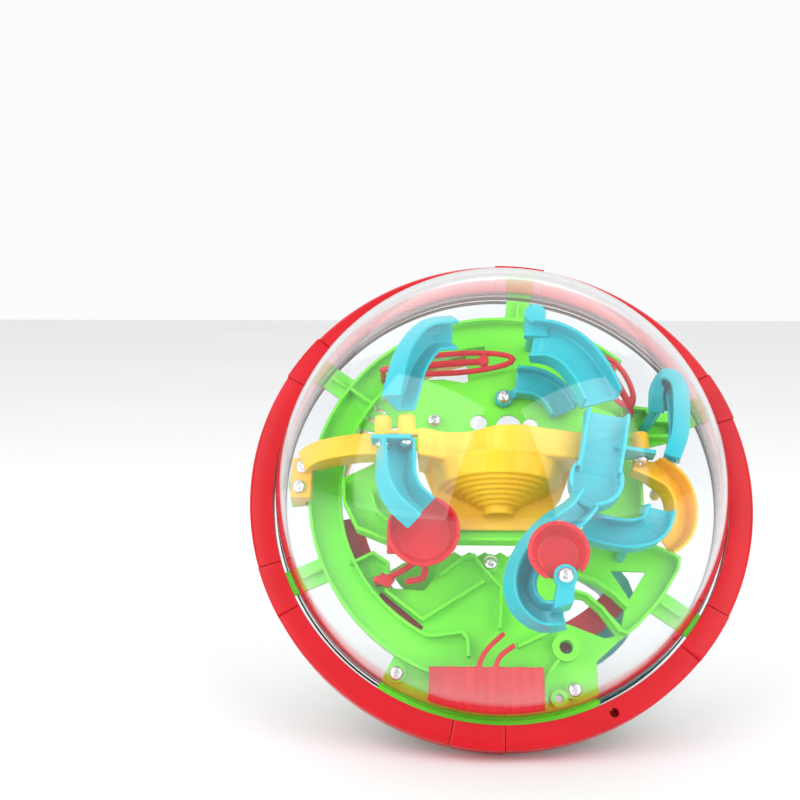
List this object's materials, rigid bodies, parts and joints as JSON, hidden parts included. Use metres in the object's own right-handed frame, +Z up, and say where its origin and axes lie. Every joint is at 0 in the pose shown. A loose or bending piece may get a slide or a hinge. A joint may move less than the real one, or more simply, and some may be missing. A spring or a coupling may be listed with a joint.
{
  "type": "maze ball puzzle",
  "caption": "Clear ball-shaped maze puzzle: a red equator ring clamps two clear domes round coloured tracks on which a small steel ball runs",
  "frame": {"origin": "the centre of the ball, on the middle plane of its ring", "axes": "+Z up and +X to the right as the ball lies on a table; the ball's own axis, through the tops of both domes, points towards -Y and 27.3 degrees up"},
  "size_m": [0.2, 0.1884, 0.1838],
  "materials": {
    "clear": "clear moulded acrylic, polished",
    "red": "glossy moulded",
    "green": "satin moulded",
    "yellow": "satin moulded",
    "teal": "satin moulded",
    "steel": "bright plated"
  },
  "bodies": {
    "body": {"front_dome": "clear", "rear_dome": "clear", "front_ring": "red", "rear_ring": "red", "ring_clip_1": "red", "ring_clip_2": "red", "ring_clip_3": "red", "ring_clip_4": "red", "ring_clip_5": "red", "ring_clip_6": "red", "left_cup": "red", "right_cup": "red", "start_box": "red", "red_long_loop": "red", "red_right_loop": "red", "red_hook": "red", "rear_red_track": "red", "main_deck": "green", "upper_deck": "green", "rear_shelf": "green", "yellow_funnel": "yellow", "yellow_left_track": "yellow", "yellow_right_bank": "yellow", "rear_yellow_track": "yellow", "teal_left_slide": "teal", "teal_left_chute": "teal", "teal_right_slide": "teal", "teal_hook_track": "teal", "teal_branch": "teal", "teal_inner_track": "teal", "teal_arch": "teal", "rear_teal_track": "teal", "tab_screw_upper": "steel", "tab_screw_lower": "steel", "upper_deck_screw": "steel", "inner_track_screw": "steel", "deck_screw_left": "steel", "deck_screw_right": "steel", "deck_screw_middle": "steel", "hook_screw": "steel", "flange_screw_1": "steel", "flange_screw_2": "steel", "flange_screw_3": "steel", "flange_screw_4": "steel"},
    "ball": {"steel_ball": "steel"}
  },
  "joints": [
    {"name": "ball_orbit", "type": "hinge", "parent": "body", "child": "ball", "pos_m": [0, -0.00427, 0.0022], "axis": [0, -0.889, 0.4579], "range_deg": [-115, 0]}
  ]
}
